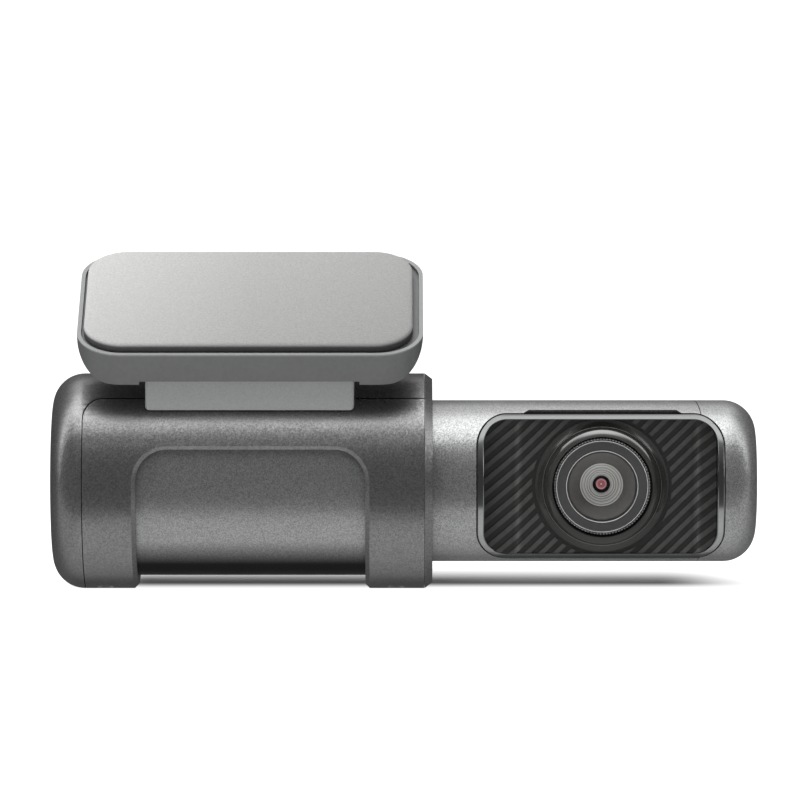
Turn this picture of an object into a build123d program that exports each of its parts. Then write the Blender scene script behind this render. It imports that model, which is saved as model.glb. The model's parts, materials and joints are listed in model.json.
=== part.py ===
from build123d import *
import math
import os

os.makedirs("parts", exist_ok=True)

# ---------------------------------------------------------------------------
# Driving dimensions, millimetres.
# Modelled about the barrel axis (along X, lens towards -Y, +Z up), then moved
# so that the origin is the centre of the adhesive face.
# ---------------------------------------------------------------------------
TILT = 26.0            # slope of the adhesive face from horizontal
AXIS_Y = 2.5           # barrel axis seen from the adhesive face centre
AXIS_Z = -30.89

MAIN_R = 18.0          # main barrel
MAIN_X0 = -33.15
MAIN_X1 = 30.25
MAIN_FILLET = 5.3
SEAM_X = -27.7         # end cap seam
SEAM_Z = 14.55         # spine strip seam
SEAM_R = 3.2
SEAM_GAP = 0.14
SHELL_RI = 15.9
RING_X = 28.95         # inner edge of the end ring

ARCH_X0, ARCH_X1 = -18.85, 19.1
ARCH_Z = 6.45
ARCH_R = 5.2
ARCH_BEVEL = 0.7

CORE_R = 15.8          # inner housing
CORE_RI = 14.2
CORE_X0 = -28.4
WALL_X0, WALL_X1 = 25.5, 28.0

BAR_R = 13.5          # camera barrel
BAR_RI = 12.0
BAR_X0 = 29.95
BAR_X1 = 84.3
BAR_FILLET = 5.4
BAR_SEAM = 74.1          # seam of the barrel's end cap over the axis, running aslant
SEAM_SKEW = 7.4
SPIGOT_X0, SPIGOT_X1 = 73.4, 75.4
BAR_WALL = 2.6
POCKET_R, POCKET_X = 13.85, 29.65   # shallow pocket in the end ring around the camera barrel

WIN_X, WIN_Z = 58.15, -0.4     # window centre
WIN_W, WIN_H, WIN_R = 41.05, 24.2, 5.0
OPN_W, OPN_H, OPN_R = 38.7, 22.5, 3.9
BEZ_R = 13.67
BEZ_BACK = 4.6
LENS_X, LENS_Z = 58.5, -0.3

PLATE_D = 6.6          # front of the striped plate, forward of the axis
STRIPE_V = 2.27        # stripe pitch measured upright
STRIPE_DUTY = 0.45
STRIPE_STOP_R = 11.65
FOLD_L, FOLD_R = 44.5, 74.4

JOURNAL_R = 5.95
BORE_R = 6.0
JOURNAL_RI = 4.2

TRAY_W, TRAY_D, TRAY_T = 57.4, 34.6, 5.7
TRAY_R = 7.5
TRAY_SIDE_R = 5.5
PAD_W, PAD_D, PAD_R = 54.6, 31.9, 6.8
PAD_SHIFT = (-0.3, 0.35)
POCKET_W, POCKET_D, POCKET_CORNER = 56.0, 33.2, 7.0
PAD_PROUD = 1.2
PAD_SUNK = 0.6

FOOT_X0, FOOT_X1 = -17.35, 17.25
FOOT_Y0, FOOT_Y1 = -13.1, 12.0
SADDLE_R = 18.3

RAIL_Y = 3.0
RAIL_X = 16.0
RAIL_STEM, RAIL_HEAD = 3.0, 5.5
RAIL_Z0, RAIL_Z1, RAIL_Z2 = 16.9, 19.4, 21.2
SLIDE_GAP = 0.3

BTN_X = (-14.6, -8.0, -1.4, 5.2)
BTN_R, BTN_FLANGE_R = 2.5, 3.15
LED_X = (-11.3, -4.7, 1.9)
LED_Z = 4.6
USB_X = 13.8
MIC_AT = (-17.2, -3.7)

BOARD_Z0, BOARD_Z1 = -2.6, -1.6
POSTS = ((-22.6, -7.2), (-22.6, 6.6), (17.0, -8.0), (17.0, 4.6))


# ---------------------------------------------------------------------------
# Helpers
# ---------------------------------------------------------------------------
def bx(x0, x1, y0, y1, z0, z1):
    return Pos((x0 + x1) / 2, (y0 + y1) / 2, (z0 + z1) / 2) * Box(x1 - x0, y1 - y0, z1 - z0)


def cx(r, x0, x1, y=0.0, z=0.0):
    return Pos((x0 + x1) / 2, y, z) * Rot(0, 90, 0) * Cylinder(r, x1 - x0)


def cy(r, y0, y1, x, z):
    return Pos(x, (y0 + y1) / 2, z) * Rot(90, 0, 0) * Cylinder(r, y1 - y0)


def cz(r, z0, z1, x, y):
    return Pos(x, y, (z0 + z1) / 2) * Cylinder(r, z1 - z0)


HOME = Location((0, AXIS_Y, AXIS_Z))
PAD_PLANE = Plane(
    origin=(0, -AXIS_Y, -AXIS_Z),
    x_dir=(1, 0, 0),
    z_dir=(0, -math.sin(math.radians(TILT)), math.cos(math.radians(TILT))),
)
LENS_PLANE = Plane(origin=(LENS_X, 0, LENS_Z), x_dir=(1, 0, 0), z_dir=(0, -1, 0))
FRONT = Plane(origin=(0, 0, 0), x_dir=(1, 0, 0), z_dir=(0, -1, 0))


def in_pad(part):
    return PAD_PLANE.location * part


def in_lens(part):
    return LENS_PLANE.location * part


def turn(points):
    """Ring turned about the lens axis from (radius, forward) points."""
    wire = Polyline(*[(r, 0, d) for r, d in points], close=True)
    return in_lens(revolve(make_face(wire), Axis.Z, 360))


def upright(w, h, r, x, z, d0, d1):
    """Rounded rectangle facing forwards, from d0 to d1 ahead of the axis."""
    sk = Pos(x, z, 0) * RectangleRounded(w, h, r)
    return FRONT.location * extrude(Pos(0, 0, d0) * sk, d1 - d0)


def save(name, *parts):
    moved = [HOME * p for p in parts]
    solids = []
    for p in moved:
        solids.extend(p.solids())
    out = solids[0] if len(solids) == 1 else Compound(children=solids)
    export_step(out, "parts/" + name + ".step")


def plane_z(y, n):
    """Height over the axis of the plane n mm below the adhesive face."""
    t = math.radians(TILT)
    return -AXIS_Z + (n + (y + AXIS_Y) * math.sin(t)) / math.cos(t)


# ---------------------------------------------------------------------------
# Windscreen mount: tray, foam pad, foot, screws
# ---------------------------------------------------------------------------
TOP_N = -PAD_PROUD
BOT_N = -PAD_PROUD - TRAY_T
plan = in_pad(extrude(Pos(0, 0, BOT_N) * RectangleRounded(TRAY_W, TRAY_D, TRAY_R), TRAY_T))
hw = TRAY_W / 2
side = Plane(origin=PAD_PLANE.origin, x_dir=(1, 0, 0), z_dir=-PAD_PLANE.y_dir)
prof = make_face(Polyline((-hw, BOT_N), (hw, BOT_N), (hw, TOP_N), (-hw, TOP_N), close=True))
prof = fillet(prof.vertices().filter_by_position(Axis.Y, BOT_N - 0.1, BOT_N + 0.1), TRAY_SIDE_R)
slab = side.location * extrude(prof, TRAY_D, both=True)
tray = plan & slab
tray -= in_pad(extrude(Pos(0, 0, TOP_N - PAD_SUNK) * RectangleRounded(POCKET_W, POCKET_D, POCKET_CORNER), 5))
tray -= in_pad(bx(FOOT_X0 - 0.9, FOOT_X1 + 0.9, -25, 14.4, BOT_N - 2, BOT_N + 0.6))

SCREWS = [(x, s) for x in (-12.0, 12.0) for s in (-8.0, 9.0)]
pad_floor = TOP_N - PAD_SUNK
for x, s in SCREWS:
    tray -= in_pad(cz(2.05, pad_floor - 1.3, pad_floor + 1, x, s))
    tray -= in_pad(cz(1.15, BOT_N - 1, pad_floor, x, s))

pad = in_pad(extrude(Pos(*PAD_SHIFT, pad_floor) * RectangleRounded(PAD_W, PAD_D, PAD_R), PAD_PROUD + PAD_SUNK))

seat = BOT_N + 0.6
side_yz = Plane(origin=(0, 0, 0), x_dir=(0, 1, 0), z_dir=(1, 0, 0))
foot_face = make_face(Polyline(
    (FOOT_Y0, 9.0), (FOOT_Y1, 9.0), (FOOT_Y1, plane_z(FOOT_Y1, seat)), (FOOT_Y0, plane_z(FOOT_Y0, seat)),
    close=True))
foot = side_yz.location * Pos(0, 0, FOOT_X0) * extrude(foot_face, FOOT_X1 - FOOT_X0)
foot = fillet(foot.edges().filter_by(Axis.Z), 0.7)
foot -= cx(SADDLE_R, FOOT_X0 - 1, FOOT_X1 + 1)
foot -= bx(-RAIL_X - SLIDE_GAP, FOOT_X1 + 1, RAIL_Y - RAIL_HEAD - SLIDE_GAP, RAIL_Y + RAIL_HEAD + SLIDE_GAP,
           RAIL_Z1 - SLIDE_GAP, RAIL_Z2 + SLIDE_GAP)
foot -= bx(-RAIL_X - SLIDE_GAP, FOOT_X1 + 1, RAIL_Y - RAIL_STEM - SLIDE_GAP, RAIL_Y + RAIL_STEM + SLIDE_GAP,
           10, RAIL_Z2)
for x, s in SCREWS:
    foot -= in_pad(cz(1.0, pad_floor - 7.0, pad_floor, x, s))

mount_screws = [in_pad(cz(2.0, pad_floor - 1.3, pad_floor - 0.2, x, s) + cz(1.0, pad_floor - 6.9, pad_floor - 1.3, x, s)
                       - Pos(x, s, pad_floor - 0.5) * Box(2.4, 0.6, 0.7) - Pos(x, s, pad_floor - 0.5) * Box(0.6, 2.4, 0.7))
                for x, s in SCREWS]

save("mount_plate", tray)
save("adhesive_pad", pad)
save("mount_foot", foot)
save("mount_screws", *mount_screws)

# ---------------------------------------------------------------------------
# Main barrel skins: end cap with spine, front and rear shells, end ring
# ---------------------------------------------------------------------------
env = cx(MAIN_R, MAIN_X0, MAIN_X1)
env = fillet(env.edges().filter_by(GeomType.CIRCLE).sort_by(Axis.X)[0:1], MAIN_FILLET)
env -= (cx(MAIN_R + 1, MAIN_X1 - 1.25, MAIN_X1 + 1)
        - Pos(MAIN_X1 - 0.625, 0, 0) * Rot(0, 90, 0) * Cone(MAIN_R, MAIN_R - 0.95, 1.25))
hollow = cx(SHELL_RI, -29.9, 40)
skin = (env - hollow) & bx(-40, RING_X - 0.05, -30, 30, -30, 30)


def seam_block(g):
    """Region of the front and rear shells, opened by g on its seam sides."""
    f = make_face(Polyline((SEAM_X - g, -25), (RING_X + 5, -25), (RING_X + 5, SEAM_Z + g), (SEAM_X - g, SEAM_Z + g),
                           close=True))
    v = f.vertices().sort_by(Axis.X)[0:2].sort_by(Axis.Y)[-1]
    return FRONT.location * extrude(fillet(v, SEAM_R), 30, both=True)


cap = skin - seam_block(SEAM_GAP / 2)
# spigot into the inner housing, speaker seat and grille
cap += cx(14.1, -30.2, -27.0) - cx(13.1, -31, -26)
grille = [(0.0, 0.0)]
for ring, n in ((2.6, 6), (5.2, 12), (7.8, 18)):
    grille += [(ring * math.cos(2 * math.pi * i / n), ring * math.sin(2 * math.pi * i / n)) for i in range(n)]
cap -= cx(11.1, -31.9, -28)
for a, b in grille:
    cap -= cx(0.55, -35, -31, a, b)
# seat of the rail and the two rail screws
cap -= bx(-RAIL_X - 0.02, RAIL_X + 0.02, RAIL_Y - RAIL_STEM - 0.02, RAIL_Y + RAIL_STEM + 0.02, RAIL_Z0, 19)
RAIL_SCREWS = (-11.0, 11.0)
for x in RAIL_SCREWS:
    cap -= cz(1.05, 13, 19, x, RAIL_Y)

f = make_face(Polyline((ARCH_X0, -30), (ARCH_X1, -30), (ARCH_X1, ARCH_Z), (ARCH_X0, ARCH_Z), close=True))
arch = FRONT.location * extrude(fillet(f.vertices().sort_by(Axis.Y)[-2:], ARCH_R), 30, both=True)
panels = (skin & seam_block(-SEAM_GAP / 2)) - arch
SHELL_SCREWS = [(x, y) for x in (-24.4, 24.2) for y in (-4.0, 4.0)]
for x, y in SHELL_SCREWS:
    panels -= cz(1.7, -20, -16.2, x, y)
    panels -= cz(0.85, -20, -14, x, y)
front = panels & bx(-40, 40, -30, -0.06, -30, 30)
rear = panels & bx(-40, 40, 0.06, 30, -30, 30)


def arch_edges(p):
    out = []
    for e in p.edges():
        m = e @ 0.5
        r = math.hypot(m.Y, m.Z)
        if abs(r - MAIN_R) < 0.02 and m.Z < ARCH_Z + 0.05 and ARCH_X0 - 0.05 < m.X < ARCH_X1 + 0.05 and abs(m.Y) > 0.5:
            out.append(e)
    return out


front = chamfer(arch_edges(front), ARCH_BEVEL)
rear = chamfer(arch_edges(rear), ARCH_BEVEL)

STOP_R, PEG_R = 10.2, 0.7
STOP_LO, STOP_HI = -60.0, 45.0     # swing of the camera barrel, degrees
PEG_AT = 90.0                      # peg stands above the axis at rest
ring = (env & bx(RING_X, 40, -30, 30, -30, 30)) + cx(14.1, WALL_X1, RING_X + 0.5)
ring -= cx(6.35, 20, 40)
room = math.degrees((PEG_R + 0.3) / STOP_R)
arc_pts = []
steps = 18
lo, hi = PEG_AT + STOP_LO - room, PEG_AT + STOP_HI + room
for i in range(steps + 1):
    a = math.radians(lo + (hi - lo) * i / steps)
    arc_pts.append(((STOP_R + PEG_R + 0.35) * math.cos(a), (STOP_R + PEG_R + 0.35) * math.sin(a)))
for i in range(steps + 1):
    a = math.radians(hi - (hi - lo) * i / steps)
    arc_pts.append(((STOP_R - PEG_R - 0.35) * math.cos(a), (STOP_R - PEG_R - 0.35) * math.sin(a)))
ring -= side_yz.location * Pos(0, 0, 28.9) * extrude(make_face(Polyline(*arc_pts, close=True)), 3)
ring -= cx(POCKET_R, POCKET_X, 40)
RING_SCREWS = [(12.1 * math.cos(math.radians(a)), 12.1 * math.sin(math.radians(a))) for a in (-20, 200, 270)]
for y, z in RING_SCREWS:
    ring -= cx(0.8, 27, 29.1, y, z)

save("end_cap_spine", cap)
save("front_shell", front)
save("rear_shell", rear)
save("end_ring", ring)

# ---------------------------------------------------------------------------
# Sideways rail on the spine
# ---------------------------------------------------------------------------
rail = bx(-RAIL_X, RAIL_X, RAIL_Y - RAIL_STEM, RAIL_Y + RAIL_STEM, RAIL_Z0, RAIL_Z1)
head = bx(-RAIL_X, RAIL_X, RAIL_Y - RAIL_HEAD, RAIL_Y + RAIL_HEAD, RAIL_Z1, RAIL_Z2)
head = chamfer(head.edges().filter_by(Axis.Z), 0.8)
rail += head
for x in RAIL_SCREWS:
    rail -= cz(1.05, 10, 30, x, RAIL_Y)
    rail -= Pos(x, RAIL_Y, RAIL_Z2 - 0.5) * Cone(1.05, 2.05, 1.0)
rail_screws = []
for x in RAIL_SCREWS:
    s = Pos(x, RAIL_Y, RAIL_Z2 - 0.55) * Cone(1.0, 2.0, 1.0) + cz(1.0, 12.2, RAIL_Z2 - 1.0, x, RAIL_Y)
    s -= Pos(x, RAIL_Y, RAIL_Z2 - 0.2) * Box(2.2, 0.5, 0.6)
    s -= Pos(x, RAIL_Y, RAIL_Z2 - 0.2) * Box(0.5, 2.2, 0.6)
    rail_screws.append(s)
save("slide_rail", rail)
save("rail_screws", *rail_screws)

# ---------------------------------------------------------------------------
# Inner housing, bosses, posts, holes
# ---------------------------------------------------------------------------
core = cx(CORE_R, CORE_X0, 28.9) - cx(CORE_RI, CORE_X0 - 1, WALL_X0) - cx(CORE_RI, WALL_X1, 30)
bore_void = cx(CORE_R - 0.5, CORE_X0, WALL_X0 + 0.5)
for x in RAIL_SCREWS:
    core += cz(2.6, 11.9, 16, x, RAIL_Y) & bore_void
for x, y in SHELL_SCREWS:
    core += cz(2.0, -15.5, -11.6, x, y) & bore_void
for x, y in POSTS:
    core += cz(2.0, -15.0, BOARD_Z0, x, y) & bore_void
for x in RAIL_SCREWS:
    core -= cz(1.0, 11, 18, x, RAIL_Y)
for x, y in SHELL_SCREWS:
    core -= cz(0.8, -18, -12.2, x, y)
for x, y in POSTS:
    core -= cz(0.8, -7.5, BOARD_Z0 + 1, x, y)
for x in BTN_X:
    core -= cy(BTN_R + 0.2, 10, 20, x, 0)
for x in LED_X:
    core -= cy(0.77, 10, 20, x, LED_Z)
core -= cy(0.5, 10, 20, *MIC_AT)
core -= bx(USB_X - 4.55, USB_X + 4.55, 12, 20, -1.75, 1.75)
for i in range(5):
    core -= bx(-8 + 4 * i - 0.6, -8 + 4 * i + 0.6, 6.5, 11.5, -17, -8)
core -= cx(BORE_R, 20, 40)
for y, z in RING_SCREWS:
    core -= cx(0.85, 20, 40, y, z)
save("inner_housing", core)

shell_screws = []
for x, y in SHELL_SCREWS:
    s = cz(1.5, -17.1, -16.2, x, y) + cz(0.8, -16.2, -12.4, x, y)
    s -= Pos(x, y, -17.0) * Box(1.8, 0.4, 0.8)
    s -= Pos(x, y, -17.0) * Box(0.4, 1.8, 0.8)
    shell_screws.append(s)
save("shell_screws", *shell_screws)
ring_screws = [cx(1.5, WALL_X0 - 0.9, WALL_X0, y, z) + cx(0.8, WALL_X0, 29.0, y, z) for y, z in RING_SCREWS]
save("end_ring_screws", *ring_screws)

# speaker behind the grille
speaker = cx(11.0, -31.7, -30.9) - cx(9.6, -32, -30.5)
speaker += cx(10.4, -30.9, -28.4) + cx(6.0, -28.4, -25.6)
speaker_cone = Pos(-31.1, 0, 0) * Rot(0, 90, 0) * Cone(9.4, 4.0, 0.4)
save("speaker", speaker)
save("speaker_diaphragm", speaker_cone)

# main board and what is soldered to it
board = bx(-25.2, 21.5, -12.2, 8.4, BOARD_Z0, BOARD_Z1) + bx(8.8, 18.8, 8.0, 13.0, BOARD_Z0, BOARD_Z1)
for x, y in POSTS:
    board -= cz(0.9, -5, 0, x, y)
save("main_board", board)
board_screws = [cz(1.5, BOARD_Z1, BOARD_Z1 + 0.9, x, y) + cz(0.8, -7.0, BOARD_Z1, x, y) for x, y in POSTS]
save("board_screws", *board_screws)
save("processor", bx(-14.5, -1.5, -8.5, 4.5, BOARD_Z1, -0.4))
save("thermal_pad", bx(-14.0, -2.0, -8.0, 4.0, -0.4, 0.6))
save("heat_spreader", bx(-15.5, 6.0, -9.5, 5.0, 0.6, 1.6))
save("memory_chips", bx(-0.5, 5.5, -9.0, -2.5, BOARD_Z1, -0.7), bx(-0.5, 5.5, -1.5, 5.0, BOARD_Z1, -0.7))
save("storage_chip", bx(-22.4, -16.6, -5.0, 3.0, BOARD_Z1, -0.7))
save("wifi_module", bx(7.2, 13.8, -6.0, 3.2, BOARD_Z1, 0.3))
save("camera_connector", bx(18.8, 21.0, -2.4, 2.4, BOARD_Z1, 1.3))
caps = [cx(4.4, -19.0, 9.0, y, -7.4) for y in (-4.9, 4.9)]
save("supercapacitors", *caps)
bracket = bx(-14.0, 5.0, -9.0, 4.8, 5.0, 6.0)
for x in (-13.0, 4.0):
    for y in (-8.0, 3.8):
        bracket += bx(x - 0.9, x + 0.9, y - 0.9, y + 0.9, 1.6, 5.0)
save("antenna_bracket", bracket)
save("satellite_antenna", bx(-11.0, 2.0, -8.3, 4.3, 6.0, 10.0))

# USB-C power inlet
usb = bx(USB_X - 4.47, USB_X + 4.47, 8.0, 15.3, -1.6, 1.63)
usb = fillet(usb.edges().filter_by(Axis.Y), 1.5)
mouth = bx(USB_X - 4.17, USB_X + 4.17, 9.2, 16.0, -1.3, 1.33)
mouth = fillet(mouth.edges().filter_by(Axis.Y), 1.25)
usb -= mouth
usb += bx(USB_X - 3.35, USB_X + 3.35, 9.0, 14.6, -0.33, 0.36)
save("usb_c_port", usb)

# button board, switches, lights, microphone
bboard = bx(-21.0, 8.2, 8.8, 9.8, -1.3, 6.4) + bx(-19.4, -15.4, 8.8, 9.8, -5.0, -1.0)
save("button_board", bboard)
switches = [bx(x - 1.6, x + 1.6, 9.8, 10.8, -1.25, 1.6) + cy(0.8, 10.8, 11.25, x, 0.1) for x in BTN_X]
save("button_switches", *switches)
save("status_lights", *[bx(x - 0.7, x + 0.7, 9.8, 10.5, LED_Z - 0.6, LED_Z + 0.6) for x in LED_X])
save("light_pipes", *[cy(0.75, 10.5, 15.15, x, LED_Z) for x in LED_X])
save("microphone", bx(-18.6, -15.8, 9.8, 10.9, -4.7, -2.7))

BUTTONS = ("power_button", "record_button", "wireless_button", "mute_button")
for name, x in zip(BUTTONS, BTN_X):
    b = cy(BTN_R, 13.3, 16.35, x, 0)
    b = fillet(b.edges().filter_by(GeomType.CIRCLE).sort_by(Axis.Y)[-1:], 0.5)
    b += cy(BTN_FLANGE_R, 12.7, 13.3, x, 0) + cy(0.9, 11.9, 12.7, x, 0)
    save(name, b)

# ---------------------------------------------------------------------------
# Pivot between the barrels
# ---------------------------------------------------------------------------
WALL_IN = BAR_X0 + BAR_WALL
journal = cx(JOURNAL_R, 22.8, WALL_IN) + cx(9.0, WALL_IN, WALL_IN + 1.5)
journal -= cx(JOURNAL_RI, 20, 40)
journal -= cx(8, 23.7, 24.4) - cx(5.2, 23, 25)
J_SCREWS = [(7.5 * math.cos(math.radians(a)), 7.5 * math.sin(math.radians(a))) for a in (30, 150, 270)]
for y, z in J_SCREWS:
    journal -= cx(0.85, 30, 40, y, z)
save("pivot_journal", journal)
save("journal_screws", *[cx(1.3, WALL_IN + 1.5, WALL_IN + 2.4, y, z) + cx(0.75, 31.2, WALL_IN + 1.5, y, z)
                         for y, z in J_SCREWS])
clip = cx(8.2, 23.72, 24.38) - cx(5.2, 23, 25) - bx(23, 25, -2.6, 2.6, -10, -3)
save("retaining_clip", clip)
wave = cx(8.6, 24.75, WALL_X0) - cx(6.35, 24, 26)
save("wave_washer", wave)

# ---------------------------------------------------------------------------
# Camera barrel skins
# ---------------------------------------------------------------------------
benv = cx(BAR_R, BAR_X0, BAR_X1)
benv = fillet(benv.edges().filter_by(GeomType.CIRCLE).sort_by(Axis.X)[-1:], BAR_FILLET)
benv = chamfer(benv.edges().filter_by(GeomType.CIRCLE).sort_by(Axis.X)[0:1], 0.3)
bcav = cx(BAR_RI, WALL_IN, BAR_X1 - 1.6)
bcav = fillet(bcav.edges().filter_by(GeomType.CIRCLE).sort_by(Axis.X)[-1:], 3.7)
window = upright(WIN_W + 0.24, WIN_H + 0.24, WIN_R + 0.12, WIN_X, WIN_Z, 4.0, 30)
SLIT_X0, SLIT_X1 = 45.3, 71.9
SLIT_Z = 12.28
slit = make_face(Polyline((SLIT_X0 - 0.3, 11.2), (SLIT_X1 + 0.3, 11.2), (SLIT_X1, 11.75), (SLIT_X1 - 1.0, SLIT_Z),
                          (SLIT_X0 + 1.0, SLIT_Z), (SLIT_X0, 11.75), close=True))
slit = FRONT.location * Pos(0, 0, 4.4) * extrude(slit, 20)
bskin = benv - bcav - window - slit
bshell = bskin & (Pos(BAR_SEAM, 0, 0) * Rot(0, 0, SEAM_SKEW) * bx(-80, -0.06, -60, 60, -60, 60))
bshell -= cx(BORE_R, 20, 40)
for y, z in J_SCREWS:
    bshell -= cx(0.75, 31.15, 40, y, z)
pa = math.radians(PEG_AT)
bshell += cx(PEG_R, 29.2, BAR_X0 + 0.2, STOP_R * math.cos(pa), STOP_R * math.sin(pa))
bcap = bskin & (Pos(BAR_SEAM, 0, 0) * Rot(0, 0, SEAM_SKEW) * bx(0.06, 60, -60, 60, -60, 60))
spigot = cx(11.95, SPIGOT_X0, SPIGOT_X1) - cx(11.0, 70, 80) - window
bcap += spigot - bx(70, 80, -30, -3.6, -30, 30)
bcap += (cx(BAR_RI + 0.3, 75.06, 76.4) - cx(11.0, 70, 80)) - bx(70, 80, -30, -3.6, -30, 30)
save("camera_barrel_shell", bshell)
save("barrel_end_cap", bcap)

# ---------------------------------------------------------------------------
# Window bezel, striped plate, chassis
# ---------------------------------------------------------------------------
bezel = upright(WIN_W, WIN_H, WIN_R, WIN_X, WIN_Z, BEZ_BACK, 30) & cx(BEZ_R, 20, 100)
bezel -= upright(OPN_W, OPN_H, OPN_R, WIN_X, WIN_Z, 0, 40)


def rim_edges(p):
    return [e for e in p.edges() if abs(math.hypot((e @ 0.5).Y, (e @ 0.5).Z) - BEZ_R) < 0.02]


bezel = chamfer(rim_edges(bezel), 0.18)
save("window_bezel", bezel)

OPN_L, OPN_RR = WIN_X - OPN_W / 2, WIN_X + OPN_W / 2
RISE_L, RISE_R = 2.0, 1.5


def folded(d0, d1):
    """Plate folded forwards at both ends, between depths d0 and d1."""
    pts = [(OPN_L - 1, PLATE_D + RISE_L * (FOLD_L - OPN_L + 1) / (FOLD_L - OPN_L)), (FOLD_L, PLATE_D),
           (FOLD_R, PLATE_D), (OPN_RR + 1, PLATE_D + RISE_R * (OPN_RR + 1 - FOLD_R) / (OPN_RR - FOLD_R))]
    up = [(x, -(d + d1)) for x, d in pts]
    dn = [(x, -(d + d0)) for x, d in reversed(pts)]
    return extrude(make_face(Polyline(*(up + dn), close=True)), 20, both=True)


opening = upright(OPN_W - 0.06, OPN_H - 0.06, OPN_R, WIN_X, WIN_Z, 0, 30)
plate = (folded(-1.0, 0.0) & opening) - in_lens(Cylinder(7.1, 60))


def stripes():
    faces = []
    for xa, xb, ang in ((OPN_L - 1, FOLD_L, 39.0), (FOLD_L, FOLD_R, 44.0), (FOLD_R, OPN_RR + 1, 39.0)):
        t = math.tan(math.radians(ang))
        for k in range(-22, 23):
            z0 = k * STRIPE_V
            if xa < FOLD_L:
                za, zb = z0 - (FOLD_L - xa) * t, z0
            elif xa < FOLD_R:
                za, zb = z0, z0 + (xb - xa) * t
            else:
                z0 += (FOLD_R - FOLD_L) * math.tan(math.radians(44.0)) % STRIPE_V
                za, zb = z0, z0 + (xb - xa) * t
            if max(za, zb) < -14 or min(za, zb) > 14:
                continue
            w = STRIPE_V * STRIPE_DUTY
            faces.append(extrude(make_face(Polyline((xa, za), (xb, zb), (xb, zb + w), (xa, za + w), close=True)), 14))
    return [FRONT.location * q for q in faces]


raised = (folded(-0.2, 0.16) & opening) - in_lens(Cylinder(STRIPE_STOP_R, 60))
ribs = raised & Compound(children=[s for q in stripes() for s in q.solids()])
plate = plate + ribs
save("striped_plate", plate)

chassis = bx(35.5, 73.2, -4.5, -3.4, -11.5, 11.5) & cx(BAR_RI - 0.02, 30, 80)
chassis += bx(40.5, 73.2, -5.58, -4.5, -9.8, 9.8)
CH_POSTS = [(LENS_X + a, LENS_Z + b) for a in (-11.0, 11.0) for b in (-5.5, 5.5)]
for x, z in CH_POSTS:
    chassis += cy(1.5, -3.6, 4.0, x, z)
    chassis -= cy(0.7, 0.0, 5.0, x, z)
chassis -= in_lens(Cylinder(7.1, 60))
save("camera_chassis", chassis)

# ---------------------------------------------------------------------------
# Lens
# ---------------------------------------------------------------------------
dome_edge = [
    Line((11.15, 0, PLATE_D), (11.15, 0, 7.3)),
    ThreePointArc((11.15, 0, 7.3), (10.35, 0, 9.15), (9.45, 0, 9.5)),
    ThreePointArc((9.45, 0, 9.5), (8.8, 0, 9.2), (8.45, 0, 8.4)),
    Line((8.45, 0, 8.4), (8.45, 0, PLATE_D)),
    Line((8.45, 0, PLATE_D), (11.15, 0, PLATE_D)),
]
dome = in_lens(revolve(make_face(dome_edge), Axis.Z, 360))
save("lens_dome_ring", dome)

knurl = turn([(7.75, PLATE_D), (8.02, PLATE_D), (8.02, 8.2), (7.75, 8.2)])
save("knurled_ring", knurl)
save("lens_retainer", turn([(5.55, 7.42), (7.73, 7.42), (7.73, 8.45), (7.58, 8.6), (6.0, 8.6), (5.86, 8.45), (5.86, 7.8),
                            (5.55, 7.8)]))
# domed front glass, the cap of a large sphere
glass = in_lens((Pos(0, 0, 8.32) * Cylinder(5.84, 1.0)) & (Pos(0, 0, 8.78 - 27.4) * Sphere(27.4)))
save("front_element", glass)
save("lens_baffle", turn([(5.85, 3.0), (5.85, 7.38), (5.5, 7.38), (3.5, 4.9), (3.5, 4.6), (2.95, 4.6), (2.95, 4.25),
                          (2.4, 4.25), (2.4, 3.9), (1.85, 3.9), (1.85, 3.6), (1.4, 3.6), (1.4, 3.0)]))
pupil = in_lens((Pos(0, 0, 2.65) * Cylinder(2.6, 0.7)) & (Pos(0, 0, 2.98 - 9.1) * Sphere(9.1)))
save("inner_element", pupil)
save("lens_barrel", turn([(6.9, -2.4), (6.9, 7.4), (5.87, 7.4), (5.87, 2.99), (2.62, 2.99), (2.62, 2.28), (1.8, 2.28),
                          (1.8, 1.5), (4.5, 1.5), (4.5, -1.6), (3.6, -1.6), (3.6, -2.4)]))
save("rear_element", turn([(0, -1.55), (4.45, -1.55), (4.45, 0.9), (0, 1.4)]))
holder = in_lens(Pos(0, 0, -2.2) * Box(17, 17, 3.6)) - in_lens(Pos(0, 0, 1.0) * Cylinder(6.91, 6.84)) \
    - in_lens(Pos(0, 0, -3) * Cylinder(5.7, 4))
save("lens_holder", holder)
save("infrared_filter", in_lens(Pos(0, 0, -2.62) * Box(7.8, 7.8, 0.4)))
save("image_sensor", in_lens(Pos(0, 0, -3.6) * Box(8.0, 7.0, 0.8)))
sboard = in_lens(Pos(0, 0, -4.5) * Box(27, 16, 1.0))
for x, z in CH_POSTS:
    sboard -= cy(0.8, 3, 6, x, z)
save("sensor_board", sboard)
save("sensor_screws", *[cy(1.4, 5.0, 5.9, x, z) + cy(0.7, 0.2, 5.0, x, z) for x, z in CH_POSTS])

# image cable: leaves the sensor board connector and runs along the pivot axis
cable_path = Line((21.3, 0, 0), (36.0, 0, 0)) + Spline((36.0, 0, 0), (39.5, 2.0, -0.1), (43.5, 6.0, -0.28), (48.12, 7.0, -0.3),
                                                     tangents=((1, 0, 0), (1, 0, 0)))
cable = sweep(Plane(origin=(21.3, 0, 0), x_dir=(0, 1, 0), z_dir=(1, 0, 0)) * Circle(0.7), path=cable_path)
cable += in_lens(Pos(-8.0, 0, -5.9) * Box(5.0, 6.0, 1.8))
save("image_cable", cable)
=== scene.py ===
import bpy
import bmesh
import json
import math
from mathutils import Matrix, Vector


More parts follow.
